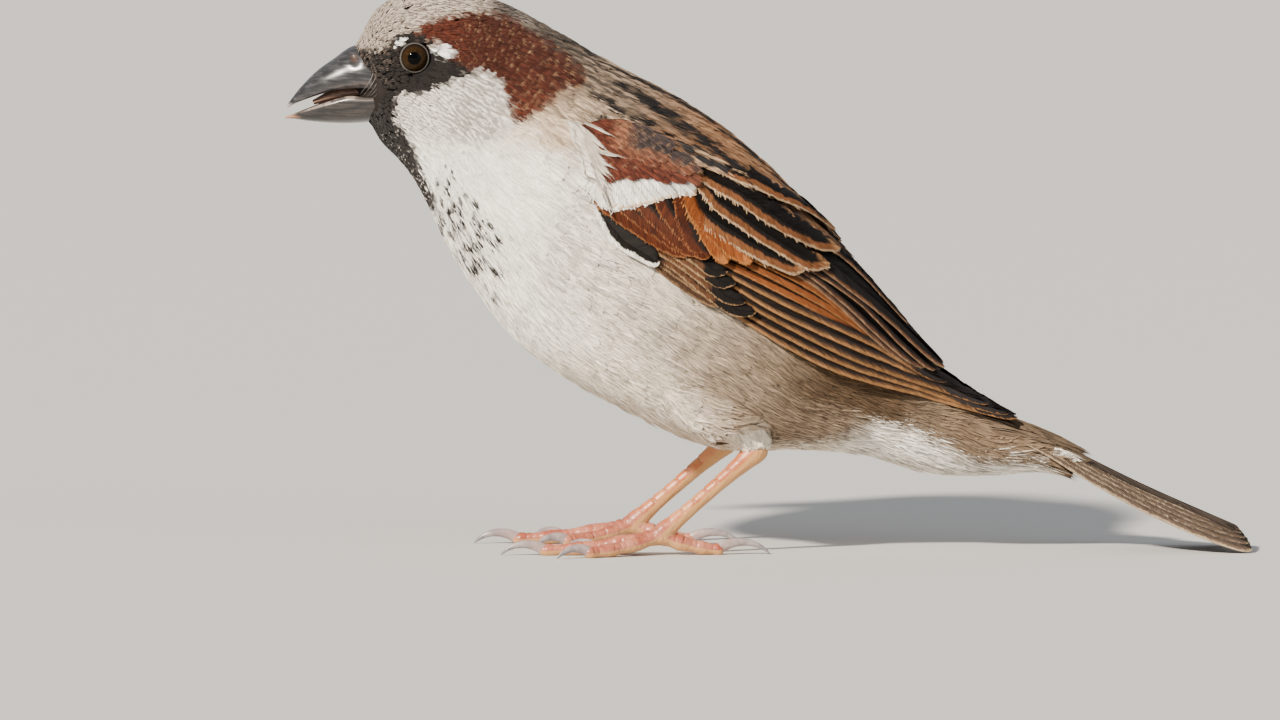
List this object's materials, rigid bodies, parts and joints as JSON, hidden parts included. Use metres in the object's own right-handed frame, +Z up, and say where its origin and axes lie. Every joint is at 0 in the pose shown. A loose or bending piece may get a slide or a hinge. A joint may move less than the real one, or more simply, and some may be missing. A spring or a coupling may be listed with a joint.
{
  "type": "house sparrow",
  "caption": "Still, life-size model of a standing adult male house sparrow with folded wings, a slightly open bill and its tail resting on the floor.",
  "frame": {"origin": "middle of the bounding box, at the level of the floor that the toes and tail rest on", "axes": "+Z up, +X towards the tail, so the bird faces -X; its left side is at -Y and its right side at +Y"},
  "size_m": [0.1432, 0.045, 0.084],
  "materials": {
    "crown_grey": "soft short feathers, matte",
    "breast_white": "soft loose feathers, matte",
    "mantle_buff": "soft streaked feathers, matte",
    "chestnut": "smooth overlapping feathers, matte",
    "flight_brown": "smooth stiff feathers, slight sheen",
    "horn": "smooth horn, satin",
    "mouth": "moist skin, satin",
    "eye": "wet gloss",
    "leg_pink": "scaly skin, satin",
    "claw_grey": "smooth horn, satin"
  },
  "bodies": {
    "root": {"head": "crown_grey", "neck": "breast_white", "trunk": "breast_white", "thigh_left": "breast_white", "thigh_right": "breast_white", "rump": "mantle_buff", "wing_coverts_left": "chestnut", "wing_coverts_right": "chestnut", "tertials_left": "flight_brown", "tertials_right": "flight_brown", "primaries_left": "flight_brown", "primaries_right": "flight_brown", "tail": "flight_brown", "bill_upper": "horn", "bill_lower": "horn", "tongue": "mouth", "eye_left": "eye", "eye_right": "eye", "tarsus_left": "leg_pink", "tarsus_right": "leg_pink", "foot_left": "leg_pink", "foot_right": "leg_pink", "claw_inner_left": "claw_grey", "claw_middle_left": "claw_grey", "claw_outer_left": "claw_grey", "claw_hind_left": "claw_grey", "claw_inner_right": "claw_grey", "claw_middle_right": "claw_grey", "claw_outer_right": "claw_grey", "claw_hind_right": "claw_grey"}
  },
  "joints": []
}
